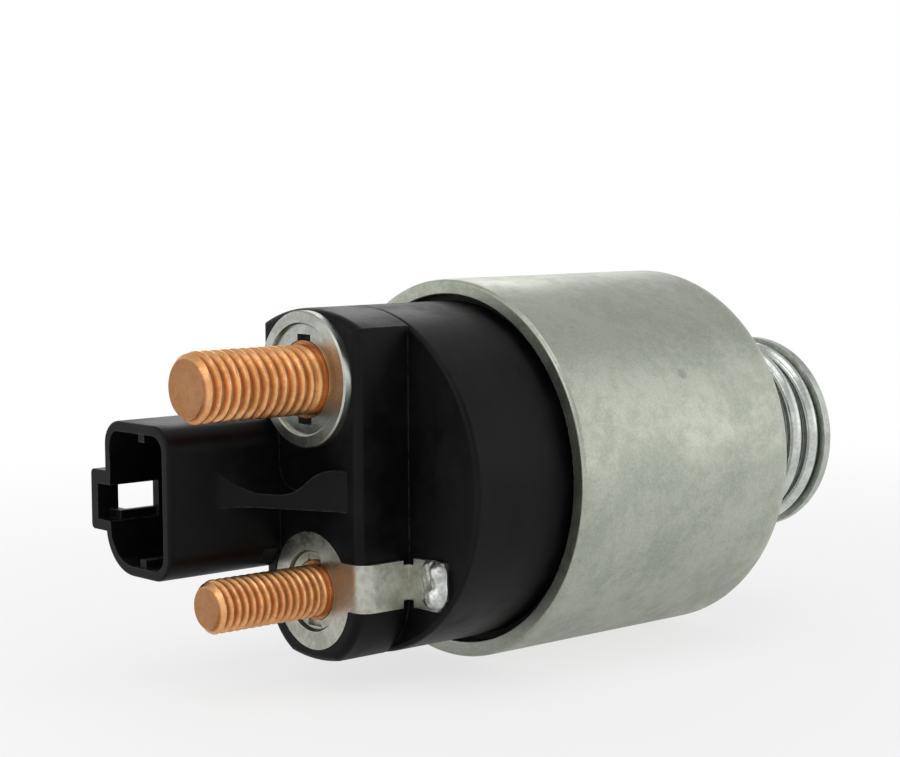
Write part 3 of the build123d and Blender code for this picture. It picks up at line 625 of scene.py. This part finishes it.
# %% Group: moulded surface
def moulded_group():
    """Eggshell grain, slow flow clouds, and dust as a film on upward faces and as specks."""
    group, entry, leave = new_group(
        "moulded",
        [("Vector", VECTOR, (0, 0, 0)), ("Grain Scale", FLOAT, 4200.0)],
        [("Grain", FLOAT), ("Flow", FLOAT), ("Dust", FLOAT)],
    )
    sketch = Sketch(group)
    vector = entry.outputs["Vector"]
    sketch.set(leave.inputs["Grain"], sketch.noise(vector, entry.outputs["Grain Scale"], 2.0, 0.6))
    sketch.set(leave.inputs["Flow"], sketch.span(sketch.noise(vector, 140.0, 4.0, 0.6), 0.35, 0.65))
    facing = sketch.node("ShaderNodeNewGeometry")
    parts = sketch.node("ShaderNodeSeparateXYZ")
    sketch.set(parts.inputs[0], facing.outputs["Normal"])
    upward = sketch.span(parts.outputs["Z"], 0.2, 1.0, 0.12, 0.55)
    patches = sketch.span(sketch.noise(vector, 520.0, 5.0, 0.7), 0.5, 0.8)
    film = sketch.math("MULTIPLY", upward, patches)
    cells = sketch.node("ShaderNodeTexVoronoi", feature="F1")
    sketch.set(cells.inputs["Vector"], vector)
    sketch.set(cells.inputs["Scale"], 700.0)
    picked = sketch.node("ShaderNodeSeparateColor")
    sketch.set(picked.inputs[0], cells.outputs["Color"])
    chosen = sketch.span(picked.outputs[1], 0.965, 0.985)
    near = sketch.span(cells.outputs["Distance"], 0.07, 0.13, 1.0, 0.0)
    speck = sketch.math("MULTIPLY", chosen, near)
    sketch.set(leave.inputs["Dust"], sketch.math("ADD", film, speck, clamp=True))
    return group


MOULDED = moulded_group()
print(MOULDED.name, "ready")

# %% [markdown]
# ## Finishes
#
# Each finish is a Principled shader whose colour, roughness and bump are driven by the
# groups above. The can is zinc over drawn steel, the studs are bare copper, the cap is
# black glass-filled nylon. Pieces inside the can are finished too, because they show when
# the part is opened or cut.

# %% Helpers for finishes
MATERIALS = {}


def start_finish(name, metallic, specular=0.5, coat=0.0):
    """A material with an empty Principled shader, a sketch and the object's own coordinates."""
    material = bpy.data.materials.new(name)
    material.use_nodes = True
    tree = material.node_tree
    tree.nodes.clear()
    sketch = Sketch(tree)
    output = sketch.node("ShaderNodeOutputMaterial")
    shader = sketch.node("ShaderNodeBsdfPrincipled")
    shader.inputs["Metallic"].default_value = metallic
    shader.inputs["Specular IOR Level"].default_value = specular
    shader.inputs["Coat Weight"].default_value = coat
    tree.links.new(shader.outputs[0], output.inputs[0])
    where = sketch.node("ShaderNodeTexCoord")
    MATERIALS[name] = material
    return sketch, shader, where.outputs["Object"]


def place_group(sketch, group, vector, **values):
    """Put a group in a finish, with its inputs set by name, and give its outputs."""
    node = sketch.node("ShaderNodeGroup", node_tree=group)
    sketch.set(node.inputs["Vector"], vector)
    for label, value in values.items():
        sketch.set(node.inputs[label.replace("_", " ")], value)
    return node.outputs


def add_bump(sketch, shader, height, distance):
    """Bump of a real depth in metres."""
    bump = sketch.node("ShaderNodeBump")
    bump.inputs["Strength"].default_value = 1.0
    bump.inputs["Distance"].default_value = distance
    sketch.set(bump.inputs["Height"], height)
    sketch.set(shader.inputs["Normal"], bump.outputs["Normal"])


def paint(red, green, blue):
    """A colour with full alpha, as light values and not as screen values."""
    return (red, green, blue, 1.0)


def grey(level):
    """The same value three times."""
    return paint(level, level, level)


print("groups to use:", [group.name for group in bpy.data.node_groups])

# %% [markdown]
# ### Zinc plating
#
# The can's plating is satin and a little green. Its clouds change both colour and
# roughness, so highlights break up as they do on plated steel. The washers, the cup and
# the clip are the same metal polished further.

# %% Zinc finishes
SPARKLE = paint(0.9, 0.9, 0.88)
PINHOLE = paint(0.10, 0.10, 0.09)


def plated(name, dark, light, edge_light, rough, cloud_scale, pinhole_scale, bump):
    """Cloudy plate with bright edges and dark pinholes; rough is its lowest and highest."""
    sketch, shader, where = start_finish(name, 1.0)
    plate = place_group(
        sketch, PLATING, where, Cloud_Scale=cloud_scale, Pinhole_Scale=pinhole_scale
    )
    rub = place_group(sketch, EDGE_RUB, where)
    cloudy = sketch.mix(plate["Clouds"], dark, light)
    grained = sketch.mix(sketch.span(plate["Grain"], 0.35, 0.65, 0.0, 0.16), cloudy, SPARKLE)
    rubbed = sketch.mix(sketch.math("MULTIPLY", rub["Mask"], 0.6), grained, edge_light)
    holed = sketch.mix(sketch.math("MULTIPLY", plate["Pinholes"], 0.75), rubbed, PINHOLE)
    sketch.set(shader.inputs["Base Color"], holed)
    clouded = sketch.span(plate["Clouds"], 0.0, 1.0, rough[1], rough[0])
    grain = sketch.math("MULTIPLY", plate["Grain"], 0.08)
    sketch.set(shader.inputs["Roughness"], sketch.math("ADD", clouded, grain))
    add_bump(sketch, shader, plate["Grain"], bump)


plated(
    "zinc_steel", paint(0.37, 0.40, 0.33), paint(0.46, 0.49, 0.41), paint(0.74, 0.76, 0.72),
    rough=(0.28, 0.38), cloud_scale=150.0, pinhole_scale=170.0, bump=0.000008,
)
plated(
    "zinc_bright", paint(0.36, 0.39, 0.34), paint(0.54, 0.57, 0.52), grey(0.9),
    rough=(0.24, 0.36), cloud_scale=260.0, pinhole_scale=300.0, bump=0.000006,
)
plated(
    "spring_steel", paint(0.50, 0.53, 0.50), paint(0.72, 0.75, 0.72), grey(0.95),
    rough=(0.12, 0.22), cloud_scale=420.0, pinhole_scale=300.0, bump=0.000004,
)
plated(
    "tinned_metal", paint(0.36, 0.36, 0.30), paint(0.56, 0.56, 0.49), paint(0.86, 0.84, 0.80),
    rough=(0.26, 0.42), cloud_scale=330.0, pinhole_scale=340.0, bump=0.000010,
)
plated(
    "solder", paint(0.42, 0.44, 0.41), paint(0.74, 0.77, 0.74), paint(0.96, 0.96, 0.95),
    rough=(0.20, 0.36), cloud_scale=700.0, pinhole_scale=400.0, bump=0.000020,
)
print(sorted(MATERIALS))

# %% [markdown]
# ### Copper, brass and bare steel
#
# Rolled copper is bright on the crests. In the roots, where the die's oil stays, it is rougher, and
# it is painted browner there as shade; its sheared end is painted darker as shade. The thread's own
# mesh carries how deep each point lies, and the colour follows that. Machined steel and brass sheet
# get turning marks.

# %% Copper and turned-metal finishes
# Painted shade: the thread roots are coloured browner the deeper they lie.
ROOT_PAINTED_SHADE = paint(0.24, 0.075, 0.024)
CREST_LIGHT = paint(0.96, 0.64, 0.42)
# Painted shade: the darker tone that the studs' end faces show where they face away along minus X.
END_FACE_PAINTED_SHADE = paint(0.27, 0.115, 0.050)


def copper_finish():
    """Clouded copper, light on the crests, with painted shade browning the roots and darkening the
    sheared end.
    """
    sketch, shader, where = start_finish("copper", 1.0)
    plate = place_group(sketch, PLATING, where, Cloud_Scale=380.0, Pinhole_Scale=420.0)
    rub = place_group(sketch, EDGE_RUB, where, Width=0.00015)
    depth = sketch.node("ShaderNodeAttribute", attribute_name="groove").outputs["Fac"]
    bright = sketch.mix(plate["Clouds"], paint(0.74, 0.35, 0.135), paint(0.94, 0.51, 0.235))
    # painted shade in the thread roots, darker where the groove is deeper
    root_shaded = sketch.mix(sketch.span(depth, 0.35, 1.0, 0.0, 0.72), bright, ROOT_PAINTED_SHADE)
    rubbed = sketch.mix(sketch.math("MULTIPLY", rub["Mask"], 0.35), root_shaded, CREST_LIGHT)
    facing = sketch.node("ShaderNodeSeparateXYZ")
    sketch.set(facing.inputs[0], sketch.node("ShaderNodeTexCoord").outputs["Normal"])
    outward = sketch.math("MULTIPLY", facing.outputs["X"], -1.0)
    # painted shade on the faces that look along minus X, the studs' tips
    end_face_shade = sketch.span(outward, 0.90, 0.98, 0.0, 0.7)
    sketch.set(shader.inputs["Base Color"], sketch.mix(end_face_shade, rubbed, END_FACE_PAINTED_SHADE))
    rough = sketch.span(plate["Clouds"], 0.0, 1.0, 0.42, 0.25)
    oily = sketch.math("MULTIPLY", depth, 0.12)
    sketch.set(shader.inputs["Roughness"], sketch.math("ADD", rough, oily))
    add_bump(sketch, shader, plate["Grain"], 0.000014)


def turned_metal(name, dark, light, rough, density, bump):
    """Rings from dark to light, with a little cloud over them and lighter edges."""
    sketch, shader, where = start_finish(name, 1.0)
    marks = place_group(sketch, TURNING, where, Density=density)
    plate = place_group(sketch, PLATING, where, Cloud_Scale=240.0)
    rub = place_group(sketch, EDGE_RUB, where)
    base = sketch.mix(sketch.span(marks["Rings"], 0.3, 0.7), dark, light)
    clouded = sketch.mix(sketch.math("MULTIPLY", plate["Clouds"], 0.25), base, dark)
    rubbed = sketch.mix(sketch.math("MULTIPLY", rub["Mask"], 0.5), clouded, light)
    sketch.set(shader.inputs["Base Color"], rubbed)
    sketch.set(shader.inputs["Roughness"], sketch.span(plate["Clouds"], 0.0, 1.0, *rough))
    add_bump(sketch, shader, marks["Rings"], bump)


copper_finish()
turned_metal(
    "bare_steel", paint(0.40, 0.40, 0.39), paint(0.58, 0.58, 0.56),
    rough=(0.26, 0.40), density=6000.0, bump=0.000012,
)
turned_metal(
    "brass_sheet", paint(0.62, 0.47, 0.20), paint(0.84, 0.69, 0.36),
    rough=(0.22, 0.36), density=4500.0, bump=0.000008,
)
print(sorted(MATERIALS))

# %% [markdown]
# ### Plastics, rubber and enamelled wire
#
# The cap is nearly black, with a satin skin that mirrors little, and a film of dust makes
# its tops greyer than its sides. Rubber is duller, and the bobbin and the bush are paler
# kinds of the same moulding. Windings could be thousands of coiled strands, but they show
# only when the can is cut open, so a wave along X draws their turns, bent a little by the
# clouds.

# %% Plastic, rubber and winding finishes
def moulded_finish(name, dark, light, dust, dust_share, rough, bump, specular=0.4):
    """Skin that drifts from dark to light, paler on rubbed edges and where dust lies."""
    sketch, shader, where = start_finish(name, 0.0, specular)
    skin = place_group(sketch, MOULDED, where)
    rub = place_group(sketch, EDGE_RUB, where)
    base = sketch.mix(skin["Flow"], dark, light)
    worn = sketch.mix(sketch.math("MULTIPLY", rub["Mask"], 0.25), base, dust)
    dusty = sketch.mix(sketch.math("MULTIPLY", skin["Dust"], dust_share), worn, dust)
    sketch.set(shader.inputs["Base Color"], dusty)
    smooth = sketch.span(skin["Flow"], 0.0, 1.0, *rough)
    powdery = sketch.math("MULTIPLY", skin["Dust"], 0.2)
    sketch.set(shader.inputs["Roughness"], sketch.math("ADD", smooth, powdery))
    add_bump(sketch, shader, skin["Grain"], bump)


def winding_finish():
    """Wound wire: a sine along X makes the turns, dark between them and coated all over."""
    sketch, shader, where = start_finish("enamelled_copper", 0.9, coat=0.6)
    plate = place_group(sketch, PLATING, where, Cloud_Scale=300.0)
    parts = sketch.node("ShaderNodeSeparateXYZ")
    sketch.set(parts.inputs[0], where)
    wander = sketch.math("MULTIPLY", plate["Clouds"], 0.6)
    along = sketch.math("MULTIPLY", parts.outputs["X"], 7400.0)
    turns = sketch.math("SINE", sketch.math("ADD", along, wander), 0.0)
    height = sketch.span(turns, -1.0, 1.0)
    base = sketch.mix(height, paint(0.22, 0.07, 0.03), paint(0.66, 0.27, 0.12))
    sketch.set(shader.inputs["Base Color"], base)
    sketch.set(shader.inputs["Roughness"], sketch.span(plate["Clouds"], 0.0, 1.0, 0.25, 0.40))
    add_bump(sketch, shader, height, 0.00015)


GREY_DUST = paint(0.20, 0.20, 0.19)
moulded_finish(
    "black_plastic", paint(0.0028, 0.0028, 0.0034), paint(0.0065, 0.0066, 0.0070), GREY_DUST,
    dust_share=0.06, rough=(0.34, 0.46), bump=0.000012, specular=0.13,
)
moulded_finish(
    "seal_rubber", grey(0.016), paint(0.030, 0.029, 0.028), GREY_DUST,
    dust_share=0.25, rough=(0.60, 0.75), bump=0.000020,
)
moulded_finish(
    "bobbin_plastic", paint(0.62, 0.59, 0.50), paint(0.76, 0.73, 0.64), paint(0.45, 0.40, 0.32),
    dust_share=0.25, rough=(0.35, 0.50), bump=0.000014,
)
moulded_finish(
    "bush_plastic", paint(0.10, 0.055, 0.035), paint(0.17, 0.10, 0.065), paint(0.35, 0.28, 0.22),
    dust_share=0.20, rough=(0.35, 0.50), bump=0.000014,
)
winding_finish()
print(len(MATERIALS), "finishes")

# %% [markdown]
# ## Give every piece its finish
#
# The record says which finish each solid has, so the list is read from there, and the
# new pieces follow the finish they name.

# %% Assign the finishes
def assign(piece, slot):
    """Give a piece one finish; only its material slots change."""
    piece.data.materials.clear()
    piece.data.materials.append(MATERIALS[slot])


slot_of = {entry["node"]: entry["material_slot"] for entry in frame["record"]["subparts"]}
for node, piece in frame["nodes"].items():
    assign(piece, slot_of[node])
for piece in bpy.context.scene.objects:
    if piece.type == "MESH" and "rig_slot" in piece:
        assign(piece, piece["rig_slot"])
drawn = sum("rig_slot" in piece for piece in bpy.context.scene.objects)
print(len(slot_of), "solids and", drawn, "new pieces finished")

# %% [markdown]
# ## Floor, backdrop and light
#
# The part lies on a white sheet that fades into the background, as in a light tent. Near
# the part the sheet shows its own lit surface, so the shadow stays, and further away it
# fades to plain white. The tent is white at the horizon and greyer overhead, which is what
# the plated can mirrors, so the can is lightest where it faces the horizon. Both are seen
# by the camera and by mirrors, and light the part more weakly than they look.

# %% Floor and backdrop
FLOOR_DROP = 0.0003
FLOOR_REACH = 3.0
FLOOR_LIFT = 0.72
FADE_START, FADE_END = 0.06, 0.22
MIRRORED_SHARE = 0.5
ZENITH_TONE = 0.55
AMBIENT = 0.7


def looked_at(sketch, mirrored_share=1.0):
    """One for rays from the camera, mirrored_share for those that metal or glass sends on."""
    ray = sketch.node("ShaderNodeLightPath").outputs
    mirrored = sketch.math("MAXIMUM", ray["Is Glossy Ray"], ray["Is Transmission Ray"])
    dimmed = sketch.math("MULTIPLY", mirrored, mirrored_share)
    return sketch.math("MAXIMUM", ray["Is Camera Ray"], dimmed)


def white_when_seen(sketch, shader, output, near_share):
    """Fade from the lit surface to plain white away from the part, for rays that look."""
    looking = looked_at(sketch, MIRRORED_SHARE)
    where = sketch.node("ShaderNodeTexCoord")
    far = sketch.node("ShaderNodeVectorMath", operation="LENGTH")
    sketch.set(far.inputs[0], where.outputs["Object"])
    share = sketch.span(far.outputs["Value"], FADE_START, FADE_END, near_share, 1.0)
    white = sketch.node("ShaderNodeEmission")
    white.inputs["Strength"].default_value = 1.0
    either = sketch.node("ShaderNodeMixShader")
    sketch.set(either.inputs[0], sketch.math("MULTIPLY", looking, share))
    sketch.set(either.inputs[1], shader.outputs[0])
    sketch.set(either.inputs[2], white.outputs[0])
    sketch.set(output.inputs[0], either.outputs[0])


def make_floor():
    """A wide flat sheet just below the part."""
    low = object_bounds()[0].z - FLOOR_DROP
    reach = np.array([[-1, -1, 0], [1, -1, 0], [1, 1, 0], [-1, 1, 0]]) * FLOOR_REACH
    points = reach + np.array([0, 0, low])
    floor = mesh_piece("floor", points, [[0, 1, 2, 3]])
    sketch, shader, where = start_finish("white_sheet", 0.0, 0.2)
    tone = sketch.noise(where, 12.0, 3.0, 0.5)
    sketch.set(shader.inputs["Base Color"], sketch.mix(tone, grey(0.94), grey(0.97)))
    sketch.set(shader.inputs["Roughness"], sketch.span(tone, 0.3, 0.7, 0.75, 0.9))
    output = next(node for node in sketch.tree.nodes if node.type == "OUTPUT_MATERIAL")
    white_when_seen(sketch, shader, output, FLOOR_LIFT)
    assign(floor, "white_sheet")


def light_world(strength):
    """White at the horizon, greyer overhead; full where it is seen, weaker where it lights."""
    world = bpy.data.worlds.new("tent")
    bpy.context.scene.world = world
    world.use_nodes = True
    tree = world.node_tree
    tree.nodes.clear()
    sketch = Sketch(tree)
    output = sketch.node("ShaderNodeOutputWorld")
    where = sketch.node("ShaderNodeTexCoord")
    parts = sketch.node("ShaderNodeSeparateXYZ")
    sketch.set(parts.inputs[0], where.outputs["Generated"])
    tone = sketch.span(parts.outputs["Z"], 0.05, 0.75, 1.0, ZENITH_TONE)
    light = sketch.node("ShaderNodeBackground")
    sketch.set(light.inputs["Color"], tone)
    sketch.set(light.inputs["Strength"], sketch.span(looked_at(sketch), 0.0, 1.0, strength, 1.0))
    sketch.set(output.inputs[0], light.outputs[0])


make_floor()
light_world(AMBIENT)
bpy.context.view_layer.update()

# %% [markdown]
# ## Lamps
#
# Four broad, weak lamps add a little shape to the even light of the tent: one from the
# front right that lightens the can's middle, one from the left for the studs' ends, one
# overhead for the shadow under the part, and one behind for the rims. They could be small
# and strong, but then the plating would show hard hot spots.

# %% Place the lamps
TARGET = Vector((-0.02, 0.0, 0.0))
LAMP_DISTANCE = 0.65


def soft_lamp(name, azimuth, elevation, width, height, power):
    """A white rectangle that faces the part from a compass angle and a height angle."""
    data = bpy.data.lights.new(name, "AREA")
    data.shape = "RECTANGLE"
    data.size = width
    data.size_y = height
    data.energy = power
    lamp = bpy.data.objects.new(name, data)
    bpy.context.scene.collection.objects.link(lamp)
    turn, rise = math.radians(azimuth), math.radians(elevation)
    back = Vector((math.sin(turn) * math.cos(rise), -math.cos(turn) * math.cos(rise), math.sin(rise)))
    lamp.location = TARGET + back * LAMP_DISTANCE
    lamp.rotation_mode = "QUATERNION"
    lamp.rotation_quaternion = back.to_track_quat("Z", "Y")


soft_lamp("key", azimuth=50, elevation=20, width=0.60, height=0.50, power=0.3)
soft_lamp("fill", azimuth=-85, elevation=35, width=0.40, height=0.40, power=0.5)
soft_lamp("top", azimuth=0, elevation=80, width=0.60, height=0.45, power=0.7)
soft_lamp("back", azimuth=150, elevation=35, width=0.40, height=0.30, power=0.5)
